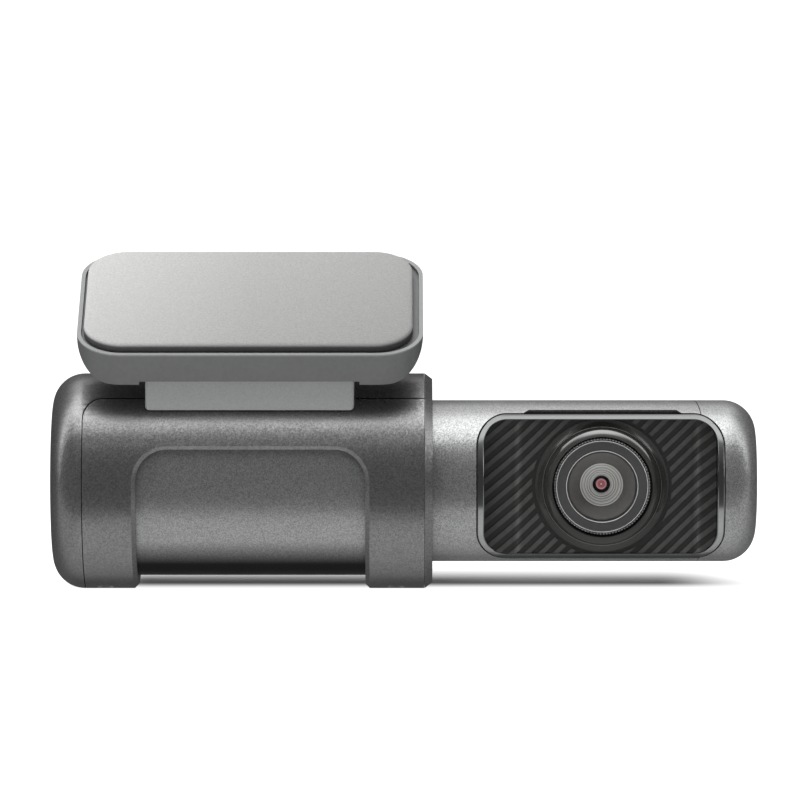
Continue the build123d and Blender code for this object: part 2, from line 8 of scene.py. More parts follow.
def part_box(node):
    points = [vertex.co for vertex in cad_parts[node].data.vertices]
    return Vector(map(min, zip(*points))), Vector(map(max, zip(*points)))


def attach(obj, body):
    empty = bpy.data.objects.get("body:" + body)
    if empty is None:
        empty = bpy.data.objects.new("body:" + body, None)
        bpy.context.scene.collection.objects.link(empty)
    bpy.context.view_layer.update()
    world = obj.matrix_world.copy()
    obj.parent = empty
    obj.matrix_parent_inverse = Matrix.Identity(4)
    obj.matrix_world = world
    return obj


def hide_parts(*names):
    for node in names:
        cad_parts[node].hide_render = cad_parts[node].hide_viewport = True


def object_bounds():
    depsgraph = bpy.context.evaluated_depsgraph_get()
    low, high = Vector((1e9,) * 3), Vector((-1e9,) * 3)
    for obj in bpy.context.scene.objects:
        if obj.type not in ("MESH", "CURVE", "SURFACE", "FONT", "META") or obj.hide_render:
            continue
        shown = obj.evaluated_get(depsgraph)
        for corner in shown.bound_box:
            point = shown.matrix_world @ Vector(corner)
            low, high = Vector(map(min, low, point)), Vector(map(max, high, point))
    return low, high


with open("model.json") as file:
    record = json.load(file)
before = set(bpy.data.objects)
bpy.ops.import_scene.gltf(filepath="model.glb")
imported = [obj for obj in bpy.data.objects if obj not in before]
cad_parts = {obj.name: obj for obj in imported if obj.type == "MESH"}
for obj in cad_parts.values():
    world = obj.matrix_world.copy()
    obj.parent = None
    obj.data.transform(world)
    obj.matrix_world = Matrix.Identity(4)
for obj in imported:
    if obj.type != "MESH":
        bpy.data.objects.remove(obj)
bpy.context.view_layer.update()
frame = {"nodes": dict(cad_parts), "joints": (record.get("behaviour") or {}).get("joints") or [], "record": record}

N = frame["nodes"]
scene = bpy.context.scene
scene.view_settings.view_transform = "Standard"
scene.view_settings.look = "None"
scene.view_settings.exposure = 0.0
scene.view_settings.gamma = 1.0

MM = 0.001
# the barrel axis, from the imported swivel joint
SWIVEL = [j for j in frame["joints"] if j["name"] == "barrel_swivel"][0]
AX = Vector((0.0, SWIVEL["pos_m"][1], SWIVEL["pos_m"][2]))


# ---------------------------------------------------------------------------
# node helpers
# ---------------------------------------------------------------------------
class Mat:
    """A Principled material with object-space procedural detail."""

    def __init__(self, name, color, metallic=0.0, rough=0.5, **kw):
        m = bpy.data.materials.new(name)
        m.use_nodes = True
        self.m = m
        self.t = m.node_tree
        self.b = self.t.nodes["Principled BSDF"]
        self.b.inputs["Base Color"].default_value = (*color, 1.0)
        self.b.inputs["Metallic"].default_value = metallic
        self.b.inputs["Roughness"].default_value = rough
        for k, v in kw.items():
            self.b.inputs[k].default_value = v
        self.color = color
        self.rough = rough
        self.coord = self.t.nodes.new("ShaderNodeTexCoord")
        self.height = None

    def link(self, a, b):
        self.t.links.new(a, b)

    def noise(self, mm, detail=2.0, rough=0.5, stretch=None):
        n = self.t.nodes.new("ShaderNodeTexNoise")
        n.inputs["Scale"].default_value = 1.0 / (mm * MM)
        n.inputs["Detail"].default_value = detail
        n.inputs["Roughness"].default_value = rough
        self._place(n, stretch)
        return n.outputs["Fac"]

    def cells(self, mm, color=False):
        n = self.t.nodes.new("ShaderNodeTexVoronoi")
        n.inputs["Scale"].default_value = 1.0 / (mm * MM)
        self._place(n, None)
        return n.outputs["Color"] if color else n.outputs["Distance"]

    def _place(self, n, stretch):
        if stretch:
            mp = self.t.nodes.new("ShaderNodeMapping")
            mp.inputs["Scale"].default_value = stretch
            self.link(self.coord.outputs["Object"], mp.inputs["Vector"])
            self.link(mp.outputs["Vector"], n.inputs["Vector"])
        else:
            self.link(self.coord.outputs["Object"], n.inputs["Vector"])

    def spread(self, fac, lo, hi, f0=0.0, f1=1.0, soft=False):
        r = self.t.nodes.new("ShaderNodeMapRange")
        if soft:
            r.interpolation_type = "SMOOTHSTEP"
        r.inputs["From Min"].default_value = f0
        r.inputs["From Max"].default_value = f1
        r.inputs["To Min"].default_value = lo
        r.inputs["To Max"].default_value = hi
        self.link(fac, r.inputs["Value"])
        return r.outputs["Result"]

    def mottle(self, fac, amount, f0=0.3, f1=0.7):
        """Colour varies by +-amount with fac."""
        mix = self.t.nodes.new("ShaderNodeMix")
        mix.data_type = "RGBA"
        c = self.color
        mix.inputs["A"].default_value = (*[max(0.0, v * (1 - amount)) for v in c], 1)
        mix.inputs["B"].default_value = (*[min(1.0, v * (1 + amount)) for v in c], 1)
        self.link(self.spread(fac, 0, 1, f0, f1), mix.inputs["Factor"])
        self.link(mix.outputs["Result"], self.b.inputs["Base Color"])
        return self

    def vary_rough(self, fac, amount, f0=0.3, f1=0.7):
        self.link(self.spread(fac, self.rough - amount, self.rough + amount, f0, f1), self.b.inputs["Roughness"])
        return self

    def vec(self, op, a, b=None, scale=None):
        n = self.t.nodes.new("ShaderNodeVectorMath")
        n.operation = op
        self.link(a, n.inputs[0])
        if b is not None:
            if isinstance(b, tuple):
                n.inputs[1].default_value = b
            else:
                self.link(b, n.inputs[1])
        if scale is not None:
            n.inputs["Scale"].default_value = scale
        return n.outputs[0]

    def calc(self, op, a, b):
        n = self.t.nodes.new("ShaderNodeMath")
        n.operation = op
        for i, v in enumerate((a, b)):
            if isinstance(v, (int, float)):
                n.inputs[i].default_value = v
            else:
                self.link(v, n.inputs[i])
        return n.outputs[0]

    def xyz(self):
        n = self.t.nodes.new("ShaderNodeSeparateXYZ")
        self.link(self.coord.outputs["Object"], n.inputs[0])
        return n.outputs["X"], n.outputs["Y"], n.outputs["Z"]

    def flakes(self, mm, tilt):
        """Each cell leans its own way, so some catch the light."""
        geo = self.t.nodes.new("ShaderNodeNewGeometry")
        lean = self.vec("SUBTRACT", self.cells(mm, True), (0.5, 0.5, 0.5))
        lean = self.vec("SCALE", lean, scale=tilt)
        self.height = self.vec("NORMALIZE", self.vec("ADD", geo.outputs["Normal"], lean))
        self.link(self.height, self.b.inputs["Normal"])
        return self

    def ramp(self, fac, stops, interp="LINEAR"):
        r = self.t.nodes.new("ShaderNodeValToRGB")
        r.color_ramp.interpolation = interp
        els = r.color_ramp.elements
        while len(els) > 1:
            els.remove(els[0])
        els[0].position = stops[0][0]
        els[0].color = (*stops[0][1], 1)
        for pos, c in stops[1:]:
            els.new(pos).color = (*c, 1)
        self.link(fac, r.inputs["Fac"])
        return r.outputs["Color"]

    def bump(self, fac, depth_mm, strength=1.0):
        n = self.t.nodes.new("ShaderNodeBump")
        n.inputs["Distance"].default_value = depth_mm * MM
        n.inputs["Strength"].default_value = strength
        self.link(fac, n.inputs["Height"])
        if self.height is not None:
            self.link(self.height, n.inputs["Normal"])
        self.height = n.outputs["Normal"]
        self.link(self.height, self.b.inputs["Normal"])
        return self


def flake_paint(name, color, metallic, rough, flake=0.20, tilt=0.06, mott=0.22, **kw):
    """Metallic paint: every flake is a small cell with its own tilt and shade."""
    m = Mat(name, color, metallic, rough, **kw)
    m.mottle(m.cells(flake, True), mott, 0.15, 0.85)
    m.vary_rough(m.noise(6.0, 3.0), 0.03)
    m.flakes(flake, tilt)
    m.bump(m.noise(0.5, 3.0, 0.6), 0.0015, 1.0)
    return m.m


def plain(name, color, metallic, rough, mm=0.4, depth=0.002, mott=0.06, rv=0.04, **kw):
    m = Mat(name, color, metallic, rough, **kw)
    m.mottle(m.noise(mm * 3, 3.0), mott)
    m.vary_rough(m.noise(4.0, 2.0), rv)
    m.bump(m.noise(mm, 3.0, 0.6), depth)
    return m.m


M = {}
M["gunmetal_shell"] = flake_paint("gunmetal_shell", (0.220, 0.220, 0.221), 0.87, 0.30)
M["barrel_paint"] = flake_paint("barrel_paint", (0.320, 0.323, 0.324), 0.76, 0.33, 0.155, 0.07, 0.30)
core = Mat("core_metal", (0.315, 0.317, 0.32), 0.80, 0.33)
_x, _y, _z = core.xyz()
# painted shade: the belly of the inner housing is painted darker towards the bottom, where the arch and the floor shade
# it; the cell mottle is the paint's own grain
_painted_belly_shade = core.spread(_z, 0.0, 1.0, float(AX.z) - 0.0132, float(AX.z) - 0.0090)
_painted_light_and_mottle = core.calc("MULTIPLY", core.spread(core.cells(0.16, True), 0.74, 1.26, 0.15, 0.85), _painted_belly_shade)
_sc = core.t.nodes.new("ShaderNodeVectorMath")
_sc.operation = "SCALE"
_sc.inputs[0].default_value = (0.315, 0.317, 0.32)
core.link(_painted_light_and_mottle, _sc.inputs["Scale"])
core.link(_sc.outputs[0], core.b.inputs["Base Color"])
core.vary_rough(core.noise(6.0, 3.0), 0.03)
core.flakes(0.16, 0.07)
core.bump(core.noise(0.5, 3.0, 0.6), 0.0015, 1.0)
M["core_metal"] = core.m
M["mount_grey"] = plain("mount_grey", (0.125, 0.127, 0.127), 0.35, 0.40, 0.25, 0.0015, 0.03)
# painted highlight: the thin rim of the tray is painted brighter, standing in for the light its edge catches
tray_m = Mat("tray_grey", (0.125, 0.127, 0.127), 0.35, 0.40)
_x, _y, _z = tray_m.xyz()
_h = tray_m.calc("SUBTRACT", tray_m.calc("MULTIPLY", _z, math.cos(math.radians(26))),
                 tray_m.calc("MULTIPLY", _y, math.sin(math.radians(26))))
_painted_light_and_mottle = tray_m.calc("MULTIPLY", tray_m.spread(_h, 1.0, 1.9, -0.00160, -0.00128, soft=True),
                    tray_m.spread(tray_m.noise(0.75, 3.0), 0.96, 1.04, 0.3, 0.7))
_sc = tray_m.t.nodes.new("ShaderNodeVectorMath")
_sc.operation = "SCALE"
_sc.inputs[0].default_value = (0.125, 0.127, 0.127)
tray_m.link(_painted_light_and_mottle, _sc.inputs["Scale"])
tray_m.link(_sc.outputs[0], tray_m.b.inputs["Base Color"])
tray_m.vary_rough(tray_m.noise(4.0, 2.0), 0.04)
tray_m.bump(tray_m.noise(0.25, 3.0, 0.6), 0.0015)
M["tray_grey"] = tray_m.m
M["foot_metal"] = flake_paint("foot_metal", (0.36, 0.365, 0.365), 0.25, 0.42, 0.18, 0.06, 0.07)
foam = Mat("foam_pad", (0.36, 0.36, 0.355), 0.0, 0.85)
_x, _y, _z = foam.xyz()
# painted light: the pad is painted lighter on its left and darker on its right, as the overhead light falls
_painted_side_light = foam.ramp(foam.spread(_x, 0.0, 1.0, -0.028, 0.028), [(0.0, (0.47, 0.47, 0.465)), (0.5, (0.345, 0.345, 0.34)), (1.0, (0.29, 0.29, 0.287))])
_mx = foam.t.nodes.new("ShaderNodeMix")
_mx.data_type = "RGBA"
_mx.blend_type = "MULTIPLY"
_mx.inputs["Factor"].default_value = 1.0
foam.link(_painted_side_light, _mx.inputs["A"])
foam.link(foam.ramp(foam.noise(0.30, 4.0, 0.75), [(0.30, (0.80, 0.80, 0.80)), (0.70, (1.12, 1.12, 1.12))]), _mx.inputs["B"])
_sh = foam.t.nodes.new("ShaderNodeVectorMath")
_sh.operation = "SCALE"
foam.link(_mx.outputs["Result"], _sh.inputs[0])
# painted shade: the edge of the foam below its face, down in the tray pocket, is painted darker, and the pad is painted
# lighter towards its upper edge, as the overhead light falls
_x, _y, _z = foam.xyz()
_h = foam.calc("SUBTRACT", foam.calc("MULTIPLY", _z, math.cos(math.radians(26))),
               foam.calc("MULTIPLY", _y, math.sin(math.radians(26))))
_painted_edge_shade = foam.spread(_h, 0.20, 1.0, -0.00085, -0.00030, soft=True)
foam.link(foam.calc("MULTIPLY", foam.spread(_z, 0.93, 1.13, -0.0075, 0.0075), _painted_edge_shade), _sh.inputs["Scale"])
foam.link(_sh.outputs[0], foam.b.inputs["Base Color"])
foam.bump(foam.noise(0.35, 4.0, 0.75), 0.05)
foam.bump(foam.cells(0.5), 0.02)
M["foam_pad"] = foam.m
# anodised frame with painted light and shade: paler along its lower bar and darker along its upper bar, standing in for
# the reflections they catch
bez = Mat("bezel_metal", (0.255, 0.26, 0.26), 1.0, 0.15)
_x, _y, _z = bez.xyz()
_painted_light_and_mottle = bez.calc("MULTIPLY", bez.spread(_z, 1.75, 0.52, float(AX.z) - 0.0100, float(AX.z) + 0.0095),
                 bez.spread(bez.noise(0.45, 3.0), 0.96, 1.04, 0.3, 0.7))
_sc = bez.t.nodes.new("ShaderNodeVectorMath")
_sc.operation = "SCALE"
_sc.inputs[0].default_value = (0.255, 0.26, 0.26)
bez.link(_painted_light_and_mottle, _sc.inputs["Scale"])
bez.link(_sc.outputs[0], bez.b.inputs["Base Color"])
bez.vary_rough(bez.noise(4.0, 2.0), 0.02)
bez.bump(bez.noise(0.15, 3.0, 0.6), 0.0006)
M["bezel_metal"] = bez.m
M["stripe_dark"] = plain("stripe_dark", (0.022, 0.022, 0.0215), 0.0, 0.32, 0.3, 0.002, 0.12)
M["lens_black"] = plain("lens_black", (0.010, 0.010, 0.011), 0.0, 0.10, 0.6, 0.0003, 0.1, 0.01)
M["lens_ring"] = plain("lens_ring", (0.075, 0.075, 0.076), 0.3, 0.36, 0.2, 0.0015, 0.06)
M["knurl_metal"] = plain("knurl_metal", (0.42, 0.42, 0.42), 0.35, 0.30, 0.15, 0.002)
M["edge_metal"] = plain("edge_metal", (0.74, 0.74, 0.73), 0.25, 0.34, 0.2, 0.001)
dome = Mat("dome_black", (0.024, 0.0235, 0.022), 0.0, 0.17)
dome.b.inputs["IOR"].default_value = 1.95
_x, _y, _z = dome.xyz()
# painted reflection: the specular level is raised on the upper half of the ring and lowered on its lower half, as the
# light falls from above
dome.link(dome.spread(_z, 0.13, 0.62, float(AX.z) - 0.006, float(AX.z) + 0.002), dome.b.inputs["Specular IOR Level"])
dome.vary_rough(dome.noise(4.0, 2.0), 0.02)
dome.bump(dome.noise(0.8, 3.0), 0.0003)
M["dome_black"] = dome.m
M["dome_edge"] = plain("dome_edge", (0.10, 0.10, 0.098), 0.2, 0.30, 0.3, 0.0005, 0.06)
M["cone_grey"] = plain("cone_grey", (0.135, 0.132, 0.126), 0.1, 0.50, 0.25, 0.001, 0.06)
M["baffle_grey"] = plain("baffle_rings", (0.36, 0.355, 0.345), 0.1, 0.45, 0.2, 0.001, 0.05)

M["black_plastic"] = plain("black_plastic", (0.022, 0.022, 0.023), 0.0, 0.45, 0.3, 0.003)
M["steel_screw"] = plain("steel_screw", (0.40, 0.40, 0.41), 1.0, 0.32, 0.2, 0.002)
M["circuit_board"] = plain("circuit_board", (0.02, 0.085, 0.045), 0.0, 0.35, 0.5, 0.004, 0.2)
M["chip_black"] = plain("chip_black", (0.02, 0.02, 0.021), 0.0, 0.55, 0.2, 0.002)
M["shield_tin"] = plain("shield_tin", (0.50, 0.50, 0.51), 1.0, 0.30, 0.4, 0.002)
M["ceramic"] = plain("ceramic", (0.55, 0.47, 0.35), 0.0, 0.55, 0.3, 0.003)
M["aluminium_part"] = plain("aluminium_part", (0.55, 0.56, 0.57), 1.0, 0.35, 0.3, 0.002)
M["grey_silicone"] = plain("grey_silicone", (0.30, 0.31, 0.33), 0.0, 0.7, 0.5, 0.006)
M["capacitor_sleeve"] = plain("capacitor_sleeve", (0.02, 0.03, 0.08), 0.0, 0.3, 0.6, 0.003)
M["paper_cone"] = plain("paper_cone", (0.04, 0.04, 0.04), 0.0, 0.8, 0.2, 0.01, 0.2)
M["light_guide"] = plain("light_guide", (0.62, 0.66, 0.70), 0.0, 0.25, 0.5, 0.001)
M["filter_glass"] = plain("filter_glass", (0.3, 0.5, 0.55), 0.0, 0.1, 0.5, 0.0003)
M["sensor_face"] = plain("sensor_face", (0.04, 0.03, 0.06), 0.2, 0.15, 0.3, 0.0005)
M["spring_steel"] = plain("spring_steel", (0.45, 0.45, 0.45), 1.0, 0.3, 0.3, 0.002)
M["cable_black"] = plain("cable_black", (0.018, 0.018, 0.018), 0.0, 0.6, 0.3, 0.006)
glass = Mat("lens_glass", (0.02, 0.02, 0.022), 0.0, 0.03)
glass.b.inputs["Alpha"].default_value = 0.05
glass.bump(glass.noise(3.0, 1.0), 0.0002)
M["lens_glass"] = glass.m

# the lens axis and the planes in front of the barrel axis, from the CAD
_lo, _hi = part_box("lens_retainer")
LENS = Vector(((_lo[0] + _hi[0]) / 2, AX.y, (_lo[2] + _hi[2]) / 2))
PLATE_D = (AX.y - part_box("knurled_ring")[1][1]) / MM
WLO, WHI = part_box("window_bezel")
FOLD_L, FOLD_R = 44.5 * MM, 74.4 * MM


# coated pupil: pink coating in radial bands, with a painted highlight as the white dot at its centre
coat = Mat("coated_glass", (0.55, 0.22, 0.23), 0.0, 0.18)
_x, _y, _z = coat.xyz()
_dx = coat.calc("SUBTRACT", _x, float(LENS.x))
_dz = coat.calc("SUBTRACT", _z, float(LENS.z))
_r = coat.calc("SQRT", coat.calc("ADD", coat.calc("MULTIPLY", _dx, _dx), coat.calc("MULTIPLY", _dz, _dz)), 0.0)
coat.link(coat.ramp(coat.spread(_r, 0.0, 1.0, 0.0, 0.00094),
                    [(0.0, (1.0, 0.85, 0.85)), (0.13, (0.95, 0.75, 0.75)), (0.21, (0.20, 0.05, 0.06)), (0.34, (0.62, 0.19, 0.22)),
                     (0.60, (0.56, 0.15, 0.18)), (0.72, (0.86, 0.40, 0.42)), (0.88, (0.92, 0.50, 0.52)), (1.0, (0.36, 0.10, 0.12))]),
          coat.b.inputs["Base Color"])
coat.bump(coat.noise(0.5, 2.0), 0.0003)
M["coated_glass"] = coat.m


# painted light and shade: each step of the baffle is painted dark at its inner edge, paler across it and bright along
# its outer edge, standing in for the shade and the highlight on the steps
rings = Mat("baffle_rings_painted_highlights", (0.36, 0.355, 0.345), 0.1, 0.45)
_x, _y, _z = rings.xyz()
_dx = rings.calc("SUBTRACT", _x, float(LENS.x))
_dz = rings.calc("SUBTRACT", _z, float(LENS.z))
_r = rings.calc("SQRT", rings.calc("ADD", rings.calc("MULTIPLY", _dx, _dx), rings.calc("MULTIPLY", _dz, _dz)), 0.0)
_painted_ring_stops = [(0.0, (0.02, 0.02, 0.02)), (0.383, (0.03, 0.03, 0.03))]
for r0, r1 in ((1.44, 1.97), (2.00, 2.30), (2.33, 2.71), (2.74, 3.19), (3.22, 3.58)):
    _painted_ring_stops += [(r0 / 3.7, (0.17, 0.168, 0.162)), ((r0 + 0.10) / 3.7, (0.46, 0.455, 0.44)), ((r1 - 0.13) / 3.7, (0.62, 0.615, 0.595)),
            ((r1 - 0.05) / 3.7, (0.95, 0.94, 0.91)), (r1 / 3.7, (0.90, 0.89, 0.86))]
rings.link(rings.ramp(rings.spread(_r, 0.0, 1.0, 0.0, 0.0037), _painted_ring_stops), rings.b.inputs["Base Color"])
rings.vary_rough(rings.noise(1.0, 2.0), 0.04)
rings.bump(rings.noise(0.2, 2.0), 0.0008)
M["baffle_grey"] = rings.m


def plate_paint(name, color, rough):
    """Black plate lacquer, with a painted highlight along both folds and painted shade dimming it towards the ends."""
    m = Mat(name, color, 0.0, rough)
    x, y, z = m.xyz()
    line = None
    for fx in (FOLD_L, FOLD_R):
        d = m.calc("ABSOLUTE", m.calc("SUBTRACT", x, fx), 0.0)
        g = m.spread(d, 1.0, 0.0, 0.00004, 0.00075)
        line = g if line is None else m.calc("MAXIMUM", line, g)
    far = m.calc("ABSOLUTE", m.calc("SUBTRACT", x, float((WLO[0] + WHI[0]) / 2)), 0.0)
    dim = m.spread(far, 1.0, 0.55, 0.0150, 0.0195)
    shade = m.calc("MULTIPLY", m.calc("ADD", dim, m.calc("MULTIPLY", line, 0.75)), m.spread(m.noise(1.4, 3.0), 0.88, 1.12, 0.3, 0.7))
    mx = m.t.nodes.new("ShaderNodeVectorMath")
    mx.operation = "SCALE"
    mx.inputs[0].default_value = color
    m.link(shade, mx.inputs["Scale"])
    m.link(mx.outputs[0], m.b.inputs["Base Color"])
    m.vary_rough(m.noise(4.0, 2.0), 0.03)
    m.bump(m.noise(0.3, 3.0, 0.6), 0.0015)
    return m.m


M["stripe_dark"] = plate_paint("stripe_dark_lacquer", (0.020, 0.020, 0.0190), 0.38)
M["stripe_light"] = plate_paint("stripe_light_lacquer", (0.054, 0.054, 0.052), 0.42)

# ---------------------------------------------------------------------------
# CAD nodes keep their shape: procedural material by their slot
# ---------------------------------------------------------------------------
SLOT = {s["node"]: s["material_slot"] for s in frame["record"]["subparts"]}
for name, o in N.items():
    mat = M[SLOT[name]]
    o.data.materials.clear()
    o.data.materials.append(mat)
BODY = {n: b for b, ns in frame["record"]["behaviour"]["bodies"].items() for n in ns}


def refine(node, width, mat=None, segments=3, smooth=38, limit=32):
    """A new mesh on the node's shape, welded, with its sharp edges rounded off."""
    src = N[node].data
    me = bpy.data.meshes.new(node + "_finish")
    bm = bmesh.new()
    bm.from_mesh(src)
    bmesh.ops.remove_doubles(bm, verts=bm.verts, dist=2e-6)
    bmesh.ops.dissolve_limit(bm, angle_limit=math.radians(0.6), verts=bm.verts, edges=bm.edges,
                             delimit={"NORMAL"})
    if width:
        sharp = [e for e in bm.edges if len(e.link_faces) == 2
                 and e.calc_face_angle(0.0) > math.radians(limit)]
        bmesh.ops.bevel(bm, geom=sharp, offset=width * MM, offset_type="OFFSET", segments=segments,
                        profile=0.5, affect="EDGES", clamp_overlap=True, miter_outer="SHARP")
    bmesh.ops.recalc_face_normals(bm, faces=bm.faces)
    bm.to_mesh(me)
    bm.free()
    for p in me.polygons:
        p.use_smooth = True
    me.set_sharp_from_angle(angle=math.radians(smooth))
    me.materials.append(mat or M[SLOT[node]])
    o = bpy.data.objects.new(node + "_finish", me)
    scene.collection.objects.link(o)
    wn_mod = o.modifiers.new("even_normals", "WEIGHTED_NORMAL")
    wn_mod.mode = "FACE_AREA_WITH_ANGLE"
    wn_mod.keep_sharp = True
    wn_mod.weight = 80
    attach(o, BODY[node])
    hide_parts(node)
    return o


VISIBLE = {"end_cap_spine": 0.1, "front_shell": 0.1, "rear_shell": 0.1, "end_ring": 0.08, "window_bezel": 0.12}
for n, w in VISIBLE.items():
    refine(n, w)
refine("mount_plate", 0.22, M["tray_grey"])
refine("mount_foot", 0.3, M["foot_metal"])
refine("camera_barrel_shell", 0.1, M["barrel_paint"])
refine("barrel_end_cap", 0.1, M["barrel_paint"])
refine("inner_housing", 0.08, M["core_metal"])
for n in ("slide_rail", "usb_c_port"):
    refine(n, 0.06)
for n in ("power_button", "record_button", "wireless_button", "mute_button"):
    refine(n, 0.05)
for n in ("mount_screws", "rail_screws", "shell_screws", "light_pipes"):
    refine(n, 0.04, limit=50)

# the plate's ribs keep their CAD shape, and are a lighter lacquer than the ground between them
plate_o = refine("striped_plate", 0.0)
plate_o.data.materials.append(M["stripe_light"])
OPN_L = WLO[0] + (WHI[0] - WLO[0] - 38.7 * MM) / 2
OPN_R = OPN_L + 38.7 * MM
for p in plate_o.data.polygons:
    c = p.center
    d = AX.y - c.y
    base = PLATE_D * MM
    if c.x < FOLD_L:
        base += 2.0 * MM * (FOLD_L - c.x) / (FOLD_L - OPN_L)
    elif c.x > FOLD_R:
        base += 1.5 * MM * (c.x - FOLD_R) / (OPN_R - FOLD_R)
    p.material_index = 1 if d - base > 0.05 * MM else 0
    p.use_smooth = False


def turned(name, pts, node, mat, seg=224, smooth=32, warp=None):
    """A ring or dish turned about the lens axis from (radius, forward) points in mm."""
    bm = bmesh.new()
    rows = []
    for r, d in pts:
        if r < 1e-6:
            rows.append([bm.verts.new((LENS.x, AX.y - d * MM, LENS.z))])
            continue
        row = []
        for i in range(seg):
            a = 2 * math.pi * i / seg
            rr, dd = warp(i, r, d) if warp else (r, d)
            row.append(bm.verts.new((LENS.x + rr * MM * math.cos(a), AX.y - dd * MM, LENS.z + rr * MM * math.sin(a))))
        rows.append(row)
    loops = list(zip(rows, rows[1:]))
    if len(rows[0]) > 1 and len(rows[-1]) > 1:
        loops.append((rows[-1], rows[0]))
    for a, b in loops:
        for i in range(seg):
            j = (i + 1) % seg
            if len(a) == 1 and len(b) == 1:
                break
            if len(a) == 1:
                bm.faces.new((a[0], b[j], b[i]))
            elif len(b) == 1:
                bm.faces.new((a[i], a[j], b[0]))
            else:
                bm.faces.new((a[i], a[j], b[j], b[i]))
    bmesh.ops.recalc_face_normals(bm, faces=bm.faces)
    me = bpy.data.meshes.new(name)
    bm.to_mesh(me)
    bm.free()
    for p in me.polygons:
        p.use_smooth = True
    me.set_sharp_from_angle(angle=math.radians(smooth))
    me.materials.append(mat)
    o = bpy.data.objects.new(name, me)
    scene.collection.objects.link(o)
    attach(o, "camera_barrel")
    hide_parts(node)
    return o


def arc(cx, cy, rx, ry, a0, a1, n):
    return [(cx + rx * math.cos(math.radians(a0 + (a1 - a0) * i / n)),
             cy + ry * math.sin(math.radians(a0 + (a1 - a0) * i / n))) for i in range(n + 1)]


# polished ring round the lens: a full round nose, then a long outer slope
NOSE = 2.30
turned("dome_ring_finish", [(11.15, PLATE_D + 0.02), (11.15, 6.86)]
       + [(9.90 + 1.25 * t / 10, 6.84 + 0.80 * (1 - t / 10) ** 1.5) for t in range(9, -1, -1)]
       + [(8.45 + NOSE * (math.sin(math.radians(a)) - math.sin(math.radians(22))),
           9.42 - NOSE * (math.cos(math.radians(22)) - math.cos(math.radians(a)))) for a in range(74, 21, -2)]
       + [(8.38, 9.41), (8.35, 9.34), (8.42, 8.9), (8.45, PLATE_D + 0.02)],
       "lens_dome_ring", M["dome_black"], smooth=28)
# painted highlight: a thin paler ring on the ridge of the dome stands in for the highlight along it
turned("dome_rim_painted_highlight", [(9.76, 7.60), (9.95, 7.50), (9.93, 7.70), (9.86, 7.78), (9.74, 7.82)], "lens_dome_ring", M["dome_edge"])
# knurled ring: fine teeth round its rim
TEETH = 96


def teeth(i, r, d):
    """Two proud facets and one valley to each tooth."""
    if d > 8.0:
        k = (i % 3) == 0
        return (r - (0.16 if (k and r > 7.9) else 0.0), d - (0.30 if k else 0.0))
    return (r, d)


turned("knurled_ring_finish", [(7.77, PLATE_D + 0.02), (8.06, PLATE_D + 0.02), (8.06, 8.05), (8.06, 8.25), (7.98, 8.48),
                               (7.84, 8.48), (7.77, 8.30)],
       "knurled_ring", M["knurl_metal"], seg=TEETH * 3, smooth=12, warp=teeth)
# retaining ring: flat front with a rolled edge inside and out; the thin bright rings on those edges are painted
# highlights
turned("lens_retainer_finish", [(5.57, 7.44), (7.71, 7.44), (7.71, 8.36)] + arc(7.59, 8.38, 0.12, 0.12, 0, 80, 5)
       + [(7.50, 8.49), (7.40, 8.42), (6.10, 8.42), (6.02, 8.50)] + arc(5.97, 8.42, 0.10, 0.10, 80, 180, 6)
       + [(5.87, 7.8), (5.57, 7.8)], "lens_retainer", M["lens_ring"])
turned("retainer_inner_painted_highlight", [(5.90, 8.46), (5.98, 8.46), (6.00, 8.51), (5.95, 8.56), (5.90, 8.53)], "lens_retainer",
       M["edge_metal"])
turned("retainer_outer_painted_highlight", [(7.55, 8.44), (7.66, 8.42), (7.67, 8.47), (7.60, 8.52), (7.55, 8.50)], "lens_retainer",
       M["edge_metal"])
# front glass, a shallow meniscus
GR = 27.4
turned("front_element_finish", [(0, 8.78)] + [(r, 8.78 - GR + math.sqrt(GR * GR - r * r)) for r in (0.8, 1.6, 2.4, 3.2, 4.0, 4.8, 5.4, 5.84)]
       + [(5.84, 7.84), (5.0, 7.90), (3.4, 8.02), (1.7, 8.10), (0, 8.12)], "front_element", M["lens_glass"])
# baffle: smooth cone, then a stair of fine rings
turned("baffle_cone_finish", [(5.83, 3.02), (5.83, 7.36), (5.52, 7.36), (5.40, 7.22)]
       + [(5.40 - 1.76 * t / 8, 7.22 - 2.36 * (t / 8) ** 0.9) for t in range(1, 9)] + [(3.60, 4.80), (3.60, 3.02)],
       "lens_baffle", M["cone_grey"])
STEPS = ((3.58, 3.22, 4.78), (3.20, 2.74, 4.52), (2.72, 2.34, 4.24), (2.32, 2.00, 3.98), (1.98, 1.42, 3.72))
prof = [(3.58, 3.02)]
for r1, r0, d in STEPS:
    prof += [(r1, d - 0.14), (r1 - 0.03, d), (r1 - 0.11, d), (r1 - 0.15, d - 0.09), (r0 + 0.03, d - 0.14)]
prof += [(1.42, 3.55), (1.42, 3.02)]
turned("baffle_steps_finish", prof, "lens_baffle", M["baffle_grey"], smooth=24)
# inner element: black mount round a small coated lens
PR = 9.1
turned("inner_element_finish", [(0, 2.90)] + [(r, 2.90 - PR + math.sqrt(PR * PR - r * r)) for r in (0.4, 0.9, 1.4, 2.0, 2.6)]
       + [(2.6, 2.32), (0, 2.32)], "inner_element", M["lens_black"])
turned("coated_pupil", [(0, 3.12)] + [(0.94 * math.sin(math.radians(a)), 2.86 + 0.26 * math.cos(math.radians(a))) for a in range(10, 91, 10)]
       + [(0.94, 2.84), (0, 2.84)], "inner_element", M["coated_glass"], seg=96)

# the foam pad: a soft-edged sheet with an uneven open-cell face
TILT = math.radians(26.0)
PU = Vector((1, 0, 0))
PV = Vector((0, math.cos(TILT), math.sin(TILT)))
PN = Vector((0, -math.sin(TILT), math.cos(TILT)))


